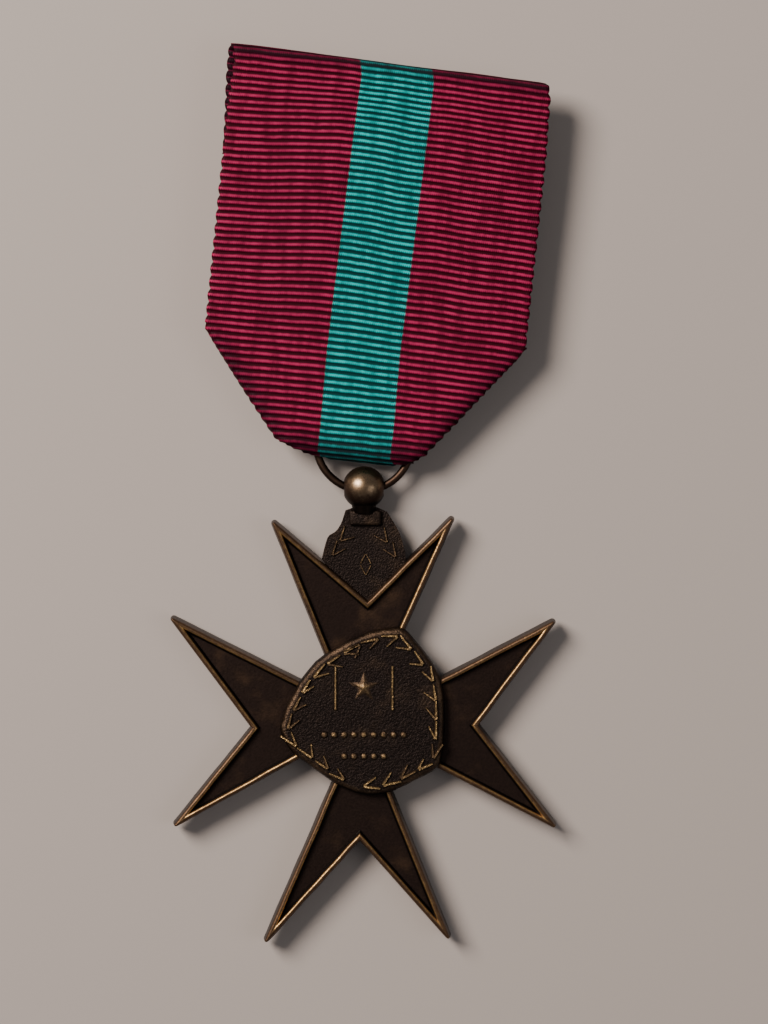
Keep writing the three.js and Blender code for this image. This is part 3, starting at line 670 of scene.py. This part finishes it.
def ribbon_path(v):
    """Where the strip's middle line is, v up from the foot of its front, and which way its face looks."""
    if v >= FRONT_LENGTH + ROLL_LENGTH:
        return ROLL_Y - (v - FRONT_LENGTH - ROLL_LENGTH), FRONT_Z - 2 * ROLL_RADIUS, 0.0, -1.0
    if v >= FRONT_LENGTH:
        angle = (v - FRONT_LENGTH) / ROLL_RADIUS
        centre = FRONT_Z - ROLL_RADIUS
        out_y, out_z = math.sin(angle), math.cos(angle)
        return ROLL_Y + ROLL_RADIUS * out_y, centre + ROLL_RADIUS * out_z, out_y, out_z
    if v >= 0:
        return LOOP_Y + v, FRONT_Z, 0.0, 1.0
    if v >= -LOOP_LENGTH:
        angle = -v / LOOP_RADIUS
        out_y, out_z = -math.sin(angle), math.cos(angle)
        return LOOP_Y + LOOP_RADIUS * out_y, LOOP_Z + LOOP_RADIUS * out_z, out_y, out_z
    y = LOOP_Y + (-v - LOOP_LENGTH)
    start, level, _ = BACK_RISE
    rise = smooth(y, start, level)
    slope = 1.5 * (BACK_TOP_Z - BACK_Z) / (level - start) * 4 * rise * (1 - rise)
    length = math.hypot(slope, 1)
    return y, BACK_Z + (BACK_TOP_Z - BACK_Z) * rise, slope / length, -1 / length


def sideways(v):
    """How far the strip's middle line has slid to the side."""
    if v >= 0:
        return FRONT_SHIFT + (TOP_SHIFT - FRONT_SHIFT) * smooth(v, 0.0, 12.0)
    return FRONT_SHIFT * (1 - smooth(math.degrees(-v / LOOP_RADIUS), 30, 80))


def folded_half_width(v, side):
    """Half the width that shows between the side folds."""
    foot = FOLD_HALF[side]
    if v >= 0:
        return foot + (RIBBON_HALF - foot) * min(1.0, v / (TAPER_TOP[side] - LOOP_Y)) ** 0.97
    angle = math.degrees(-v / LOOP_RADIUS)
    if angle <= 112:
        shoulder = foot - (foot - 6.3) * smooth(angle, 0, 55)
        return shoulder - (shoulder - 4.1) * smooth(angle, 48, 74)
    return 4.1 + (6.1 - 4.1) * smooth(angle, 112, 260)


def ribbon_point(u, v):
    """Where a point u across and v along the folded strip lies, in millimetres in the ribbon's frame."""
    y, z, out_y, out_z = ribbon_path(v)
    side = 1 if u > 0 else -1
    half = folded_half_width(v, side)
    beyond = abs(u) - half
    behind = 0.0
    x = u
    if beyond > 0:
        radius = 0.28 if side > 0 else 0.5
        if v < -LOOP_LENGTH * 0.5:
            radius *= 0.75
        open_again = smooth(v, TAPER_TOP[side] - LOOP_Y - 1.5, TAPER_TOP[side] - LOOP_Y)
        radius *= 1 - 0.6 * open_again
        bend = math.pi * radius
        squeeze = min(1.0, (2 * half - 0.8) / (RIBBON_HALF - half))
        if beyond < bend:
            x = side * (half + radius * math.sin(beyond / radius))
            behind = radius * (1 - math.cos(beyond / radius))
        else:
            x = side * (half - (beyond - bend) * squeeze)
            behind = 2 * radius
    scallop = smooth(abs(u), RIBBON_HALF - 0.8, RIBBON_HALF)
    loop_size = 0.85 + 0.3 * noise.noise(Vector((side * 4.0, v * 0.5, 2.0)))
    bulge = 0.36 * loop_size * (abs(math.sin(math.pi * (v + side * 0.3) / (2 * RIB_PITCH))) ** 0.6 - 0.75)
    x += side * scallop * bulge * (1 if beyond <= 0 else -1)
    x *= 1 - TOP_NARROWING * smooth(v, FRONT_LENGTH - 8.0, FRONT_LENGTH)
    x += sideways(v)
    turned_over = FRONT_LENGTH + ROLL_LENGTH
    askew = smooth(v, FRONT_LENGTH - 1.0, turned_over)
    x -= (0.85 - 0.5 * smooth(v, turned_over, turned_over + TURN_DOWN_LENGTH)) * askew
    sway = 0.16 * noise.noise(Vector((u * 0.09, v * 0.07, 1.7))) * smooth(v, 2.0, 12.0)
    relief = RIB_HEIGHT * rib_height(u, v) * (1 - 0.75 * scallop) + sway
    offset = relief - behind
    droop = RIBBON_SKEW * x * smooth(v, 0.0, 12.0)
    return Vector((x, y - droop + offset * out_y, z + offset * out_z))


def rib_phase(u, v):
    """Ribs run a little skew and wavy across the strip."""
    skew = 1.25 * smooth(u, -18.5, -3.0) - 0.35 * smooth(u, -3.0, 6.0) - 0.2 * smooth(u, 6.0, 18.5)
    skew *= smooth(v, -2.0, 26.0) * (1 - 0.7 * smooth(v, 36.0, 43.0))
    wave = 0.10 * noise.noise(Vector((u * 0.22, v * 0.12, 5.0)))
    wave += 0.04 * noise.noise(Vector((u * 0.8, v * 0.5, 9.0)))
    return (v - skew + wave) / RIB_PITCH


def rib_height(u, v):
    return 2 * math.sin(math.pi * rib_phase(u, v)) ** 2 - 1


def make_ribbon():
    low = -LOOP_LENGTH - BACK_LENGTH
    high = FRONT_LENGTH + ROLL_LENGTH + TURN_DOWN_LENGTH
    rows = round((high - low) / RIB_PITCH * ROWS_PER_RIB)
    columns = 50
    bm = bmesh.new()
    bmesh.ops.create_grid(bm, x_segments=columns, y_segments=rows, size=1.0)
    cloth = bm.loops.layers.uv.new("cloth")
    turned = bm.verts.layers.float.new("turned")
    places = {}
    for vert in bm.verts:
        across = vert.co.x
        u = RIBBON_HALF * (across * 1.25 - 0.25 * across**3)
        v = low + (high - low) * (vert.co.y + 1) / 2
        places[vert] = (u, v)
    for face in bm.faces:
        for loop in face.loops:
            u, v = places[loop.vert]
            loop[cloth].uv = (u / (2 * RIBBON_HALF) + 0.5, rib_phase(u, v) * RIB_PITCH * 0.01 + 0.6)
    for vert, (u, v) in places.items():
        p = ribbon_point(u, v) * MM
        vert.co = RING_CENTRE + ribbon_right * p.x + ribbon_up * p.y + ribbon_out * p.z
        side = 1 if u > 0 else -1
        fold = folded_half_width(v, side)
        # Mask for painted shade along the turned side folds
        tapering = 1 - smooth(v, TAPER_TOP[side] - 3.0, TAPER_TOP[side] + 1.0)
        vert[turned] = smooth(abs(u), fold - 3.0, fold - 0.2) * tapering
    obj = piece_from(bm, "ribbon_strip", ribbon_material(), sharp=180)
    thick = obj.modifiers.new("cloth_thickness", "SOLIDIFY")
    thick.thickness = CLOTH_THICKNESS * MM
    thick.offset = 0.0
    return obj, high - low


def ribbon_material():
    """Ribs with a painted highlight on each crest and painted shade in each groove, warp threads along
    them, and the woven centre stripe.
    """
    material, w, shader = new_material("ribbed_ribbon")
    uv = w.node("ShaderNodeUVMap", uv_map="cloth").outputs["UV"]
    split = w.node("ShaderNodeSeparateXYZ")
    w.link(uv, split.inputs[0])
    across = w.math("MULTIPLY", w.math("SUBTRACT", split.outputs["X"], 0.5), 2 * RIBBON_HALF)
    along_strip = w.math("MULTIPLY", w.math("SUBTRACT", split.outputs["Y"], 0.6), 100)
    phase = w.math("MULTIPLY", along_strip, math.pi / RIB_PITCH)
    place = w.node("ShaderNodeTexCoord").outputs["Object"]
    fuzz = w.noise(place, 5200, 2, 0.6)
    streaks = w.node("ShaderNodeCombineXYZ")
    w.link(across, streaks.inputs["X"])
    w.link(w.math("MULTIPLY", along_strip, 0.22), streaks.inputs["Y"])
    uneven = w.noise(streaks.outputs[0], 0.9, 3, 0.6)
    slanted = w.math("ADD", w.math("MULTIPLY", across, math.tau / 0.24), w.math("MULTIPLY", phase, 1.6))
    warp = w.math("SINE", slanted)
    wobble = w.math("MULTIPLY", w.math("SUBTRACT", fuzz, 0.5), 0.5)
    jagged = w.math("ADD", w.math("MULTIPLY", warp, 0.16), wobble)
    crest = w.math("POWER", w.math("ABSOLUTE", w.math("SINE", w.math("ADD", phase, jagged))), 5.5)
    stripe_middle = w.math("ADD", w.math("MULTIPLY", along_strip, 0.021), -0.25)
    from_middle = w.math("ABSOLUTE", w.math("SUBTRACT", across, stripe_middle))
    ragged = w.math("MULTIPLY", w.math("SUBTRACT", fuzz, 0.5), 0.25)
    stripe = w.ramp(w.math("ADD", from_middle, ragged), 4.3, 4.15)
    thread = w.math("ADD", w.math("MULTIPLY", warp, 0.5), 0.5)
    streaky = w.math("ADD", w.math("MULTIPLY", w.ramp(uneven, 0.3, 0.7), 0.75), 0.5)
    # Painted highlight on the rib crests and painted shade in the grooves: lit mixes the crimson and the
    # green from dark toward bright
    lit = w.math("MULTIPLY", w.ramp(crest, 0.3, 1.0), streaky)
    lit = w.math("MULTIPLY", lit, w.math("ADD", w.math("MULTIPLY", thread, 0.55), 0.55), clamp=True)
    crimson = w.mix(lit, linear("2c000a"), linear("a8244e"))
    green = w.mix(lit, linear("002c2b"), linear("00b4ae"))
    cloth_colour = w.mix(stripe, crimson, green)
    # Painted shade: the cloth is darkened at the top roll, at the folded foot and along the turned side
    # folds
    up_the_front = w.ramp(along_strip, FRONT_LENGTH - 1.0, FRONT_LENGTH + 0.8)
    at_foot = w.ramp(along_strip, 2.5, -1.5)
    turned = w.node("ShaderNodeAttribute", attribute_name="turned").outputs["Fac"]
    at_folds = w.math("MULTIPLY", turned, 0.7)
    shaded = w.math("MAXIMUM", w.math("MAXIMUM", up_the_front, at_foot), at_folds)
    shade = w.math("MULTIPLY", shaded, 0.72)
    w.link(w.mix(shade, cloth_colour, linear("12010a")), shader.inputs["Base Color"])
    w.link(w.math("ADD", w.math("MULTIPLY", fuzz, 0.2), 0.45), shader.inputs["Roughness"])
    shader.inputs["Specular IOR Level"].default_value = 0.06
    height = w.math("ADD", w.math("MULTIPLY", thread, 0.5), w.math("MULTIPLY", fuzz, 0.5))
    w.link(w.bump(height, 0.6, 0.00006), shader.inputs["Normal"])
    return material


ribbon, ribbon_length = make_ribbon()
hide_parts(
    "ribbon_front", "ribbon_flap_left", "ribbon_flap_right",
    "ribbon_loop", "ribbon_back", "ribbon_top_fold",
)
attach(ribbon, "ribbon")

# ---------------------------------------------------------------------------
# Stiffener. A strip of grey-brown pressed card inside the ribbon's top fold, with a
# fibrous face and slightly crushed edges. The ribbon is sewn round it.
# ---------------------------------------------------------------------------
def soften(node, name, material, body, width, narrowing=0.0, shift=0.0):
    """A finer copy of a CAD piece with rolled edges, if asked narrowed and slid across the ribbon."""
    source = bpy.data.objects[node]
    bm = bmesh.new()
    bm.from_mesh(source.data)
    bmesh.ops.remove_doubles(bm, verts=bm.verts, dist=1e-6)
    bmesh.ops.dissolve_limit(bm, angle_limit=math.radians(1), verts=bm.verts, edges=bm.edges)
    sharp = [e for e in bm.edges if len(e.link_faces) == 2 and e.calc_face_angle() > math.radians(35)]
    bmesh.ops.bevel(
        bm, geom=sharp, offset=width * MM, segments=2, profile=0.5,
        affect="EDGES", material=-1, clamp_overlap=True,
    )
    for v in bm.verts:
        across = (v.co - RING_CENTRE).dot(ribbon_right)
        v.co += ribbon_right * (shift * MM - across * narrowing)
    obj = piece_from(bm, name, material)
    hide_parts(node)
    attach(obj, body)


def card_material():
    """Pressed card: mottled fibres on a dull grey-brown ground."""
    material, w, shader = new_material("pressed_card")
    place = w.node("ShaderNodeTexCoord").outputs["Object"]
    fibres = w.noise(place, 2400, 6, 0.7)
    stains = w.noise(place, 150, 3, 0.5)
    tone = w.math("ADD", w.math("MULTIPLY", fibres, 0.7), w.math("MULTIPLY", stains, 0.3))
    w.link(w.mix(w.ramp(tone, 0.3, 0.7), linear("6b5c4a"), linear("a3917a")), shader.inputs["Base Color"])
    shader.inputs["Roughness"].default_value = 0.9
    w.link(w.bump(fibres, 0.5, 0.00008), shader.inputs["Normal"])
    return material


soften(
    "stiffener", "stiffening_card", card_material(), "ribbon", 0.08,
    narrowing=0.07, shift=TOP_SHIFT,
)

# ---------------------------------------------------------------------------
# Brooch. A flat steel bar sewn behind the ribbon's top, with a riveted hinge bracket,
# a spring steel pin and a bent catch. Plain nickelled steel, dulled and scratched.
# ---------------------------------------------------------------------------
def steel_material(name, light, dark, rough):
    """Drawn steel with fine scratches and a little dull spotting."""
    material, w, shader = new_material(name)
    place = w.node("ShaderNodeTexCoord").outputs["Object"]
    stretched = w.node("ShaderNodeMapping")
    w.link(place, stretched.inputs["Vector"])
    stretched.inputs["Scale"].default_value = (0.06, 1.0, 1.0)
    scratches = w.noise(stretched.outputs["Vector"], 9000, 3, 0.6)
    spots = w.noise(place, 700, 5, 0.6)
    w.link(w.mix(w.ramp(spots, 0.42, 0.68), linear(light), linear(dark)), shader.inputs["Base Color"])
    w.link(w.math("ADD", w.math("MULTIPLY", scratches, 0.25), rough), shader.inputs["Roughness"])
    height = w.math("ADD", scratches, w.math("MULTIPLY", spots, 0.4))
    w.link(w.bump(height, 0.25, 0.00004), shader.inputs["Normal"])
    shader.inputs["Metallic"].default_value = 1.0
    return material


BROOCH_STEEL = steel_material("brooch_steel", "b9b4aa", "7c7468", 0.25)
PIN_STEEL = steel_material("pin_steel", "cfccc6", "9a958c", 0.15)
soften("brooch_bar", "brooch_plate", BROOCH_STEEL, "ribbon", 0.15)
soften("hinge_bracket", "brooch_hinge", BROOCH_STEEL, "ribbon", 0.07)
soften("catch_hook", "brooch_catch", BROOCH_STEEL, "ribbon", 0.05)
soften("hinge_rivet", "brooch_hinge_rivet", PIN_STEEL, "ribbon", 0.04)
soften("pin_stem", "brooch_pin", PIN_STEEL, "pin", 0.04)

# ---------------------------------------------------------------------------
# Medallion rivets. Two soft bronze rivets hold the medallion. Their hammered heads
# stand on the back of the cross, which lies on them.
# ---------------------------------------------------------------------------
def make_rivet(node):
    low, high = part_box(node)
    radius = (high[0] - low[0]) / 2
    head = 0.9 * MM
    shank = 0.7 * MM
    height = high[2] - low[2]
    profile = [(0, 0), (0.45 * radius, 0), (0.75 * radius, 0.06 * head), (0.93 * radius, 0.28 * head)]
    profile += [(radius, 0.62 * head), (0.98 * radius, 0.95 * head)]
    profile += [(shank, 0.97 * head), (shank, height), (0, height)]
    bm = bmesh.new()
    wear = bm.verts.layers.float.new("wear")
    lathe(bm, profile, 40)
    for v in bm.verts:
        v.co.x += 0.03 * MM * noise.noise(v.co * 1500)
        v[wear] = 0.6 if v.co.z < 0.3 * head else 0.1
    bmesh.ops.translate(bm, vec=((low[0] + high[0]) / 2, (low[1] + high[1]) / 2, low[2]), verts=bm.verts)
    obj = piece_from(bm, node.replace("medallion_rivet", "pad_rivet"), BALL_BRONZE)
    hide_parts(node)
    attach(obj, "cross")


for side_name in ("left", "right"):
    make_rivet("medallion_rivet_" + side_name)

# ---------------------------------------------------------------------------
# Thread tacks. Four tacks of crimson sewing thread go round the brooch bar and into
# the ribbon's turned-down end. Each is three strands laid side by side.
# ---------------------------------------------------------------------------
THREAD_RADIUS = 0.15
BAR_HALF_WIDTH = 2.7
STITCH_BOTTOM = -1.82
STITCH_TOP = -0.72


def thread_material():
    """Twisted cotton thread: light and dark plies winding round each strand."""
    material, w, shader = new_material("twisted_thread")
    place = w.node("ShaderNodeTexCoord").outputs["Object"]
    plies = w.node("ShaderNodeTexWave", wave_type="BANDS", bands_direction="DIAGONAL")
    w.link(place, plies.inputs["Vector"])
    plies.inputs["Scale"].default_value = 900
    plies.inputs["Distortion"].default_value = 1.5
    fuzz = w.noise(place, 6000, 2, 0.5)
    w.link(w.mix(plies.outputs["Fac"], linear("4c0a1c"), linear("8c2340")), shader.inputs["Base Color"])
    shader.inputs["Roughness"].default_value = 0.8
    height = w.math("ADD", plies.outputs["Fac"], w.math("MULTIPLY", fuzz, 0.5))
    w.link(w.bump(height, 0.6, 0.00005), shader.inputs["Normal"])
    return material


TACK_THREAD = thread_material()


def add_strand(bm, path, radius, sides=10):
    """A round strand along a path in the YZ plane, closed at both ends."""
    rings = []
    for i, point in enumerate(path):
        before, after = path[max(i - 1, 0)], path[min(i + 1, len(path) - 1)]
        along_path = (after - before).normalized()
        across = Vector((1, 0, 0))
        upright = along_path.cross(across).normalized()
        turns = [k * math.tau / sides for k in range(sides)]
        spokes = [across * math.cos(t) + upright * math.sin(t) for t in turns]
        rings.append([bm.verts.new(point + spoke * radius) for spoke in spokes])
    for one, two in zip(rings, rings[1:]):
        for k in range(sides):
            bm.faces.new((one[k - 1], one[k], two[k], two[k - 1]))
    bm.faces.new(rings[0])
    bm.faces.new(rings[-1])


def make_tack(node, chance):
    low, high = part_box(node)
    middle = Vector(((low[0] + high[0]) / 2, (low[1] + high[1]) / 2, (low[2] + high[2]) / 2)) - RING_CENTRE
    x = middle.dot(ribbon_right) / MM
    y = middle.dot(ribbon_up) / MM
    bm = bmesh.new()
    reach = BAR_HALF_WIDTH + 0.47
    for strand in (-1, 0, 1):
        sway = strand * THREAD_RADIUS * 1.9
        path = []
        for k in range(25):
            turn = -math.pi / 2 + math.pi * k / 24
            corner = min(1.0, 2.2 * math.cos(turn))
            height = STITCH_TOP + (STITCH_BOTTOM - STITCH_TOP) * corner ** 0.6
            slip = chance.uniform(-0.02, 0.02)
            path.append(Vector((x + sway + slip, y + reach * math.sin(turn), height)))
        add_strand(bm, path, THREAD_RADIUS)
    bmesh.ops.recalc_face_normals(bm, faces=bm.faces)
    frame_turn = Matrix((ribbon_right, ribbon_up, ribbon_out)).transposed().to_4x4()
    place = Matrix.Translation(RING_CENTRE) @ frame_turn @ Matrix.Scale(MM, 4)
    bmesh.ops.transform(bm, matrix=place, verts=bm.verts)
    obj = piece_from(bm, node.replace("stitch", "thread_tack"), TACK_THREAD, sharp=60)
    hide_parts(node)
    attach(obj, "ribbon")


tack_chance = random.Random(3)
for tack_place in ("far_left", "left", "right", "far_right"):
    make_tack("stitch_" + tack_place, tack_chance)

# ---------------------------------------------------------------------------
# Floor, light and camera. A plain pale surface, one large soft light from the upper
# left with a weak fill, and a camera almost straight above the medal.
# ---------------------------------------------------------------------------
floor_mesh = bmesh.new()
bmesh.ops.create_grid(floor_mesh, x_segments=1, y_segments=1, size=0.6)
floor_material, _, floor_shader = new_material("pale_floor")
floor_shader.inputs["Base Color"].default_value = linear("a09289")
floor_shader.inputs["Roughness"].default_value = 0.7
floor = piece_from(floor_mesh, "floor", floor_material)

world = bpy.data.worlds.new("soft_room")
world.use_nodes = True
world.node_tree.nodes["Background"].inputs["Color"].default_value = (0.80, 0.83, 0.9, 1)
world.node_tree.nodes["Background"].inputs["Strength"].default_value = 0.22
bpy.context.scene.world = world


def area_light(name, place, size, power, colour):
    light = bpy.data.lights.new(name, "AREA")
    light.shape = "DISK"
    light.size = size
    light.energy = power
    light.color = colour
    obj = bpy.data.objects.new(name, light)
    obj.location = place
    obj.rotation_euler = (Vector((0, 0, 0)) - Vector(place)).to_track_quat("-Z", "Y").to_euler()
    bpy.context.scene.collection.objects.link(obj)


area_light("window", (-0.34, 0.26, 0.46), 0.30, 7.2, (1.0, 0.97, 0.93))
area_light("fill", (0.5, -0.1, 0.6), 0.4, 0.8, (0.9, 0.95, 1.0))

CAMERA_TILT = math.radians(2)
CAMERA_DISTANCE = 0.429
target = Vector((2.07 * MM, -2.02 * MM, 3.0 * MM))
camera_data = bpy.data.cameras.new("camera")
camera_data.lens = 130
camera_data.clip_start = 0.01
camera = bpy.data.objects.new("camera", camera_data)
up = Vector((0, math.cos(CAMERA_TILT), -math.sin(CAMERA_TILT)))
back = Vector((0, math.sin(CAMERA_TILT), math.cos(CAMERA_TILT)))
right = up.cross(back)
turn = Matrix((right, up, back)).transposed().to_4x4()
camera.matrix_world = Matrix.Translation(target + back * CAMERA_DISTANCE) @ turn
bpy.context.scene.collection.objects.link(camera)
bpy.context.scene.camera = camera
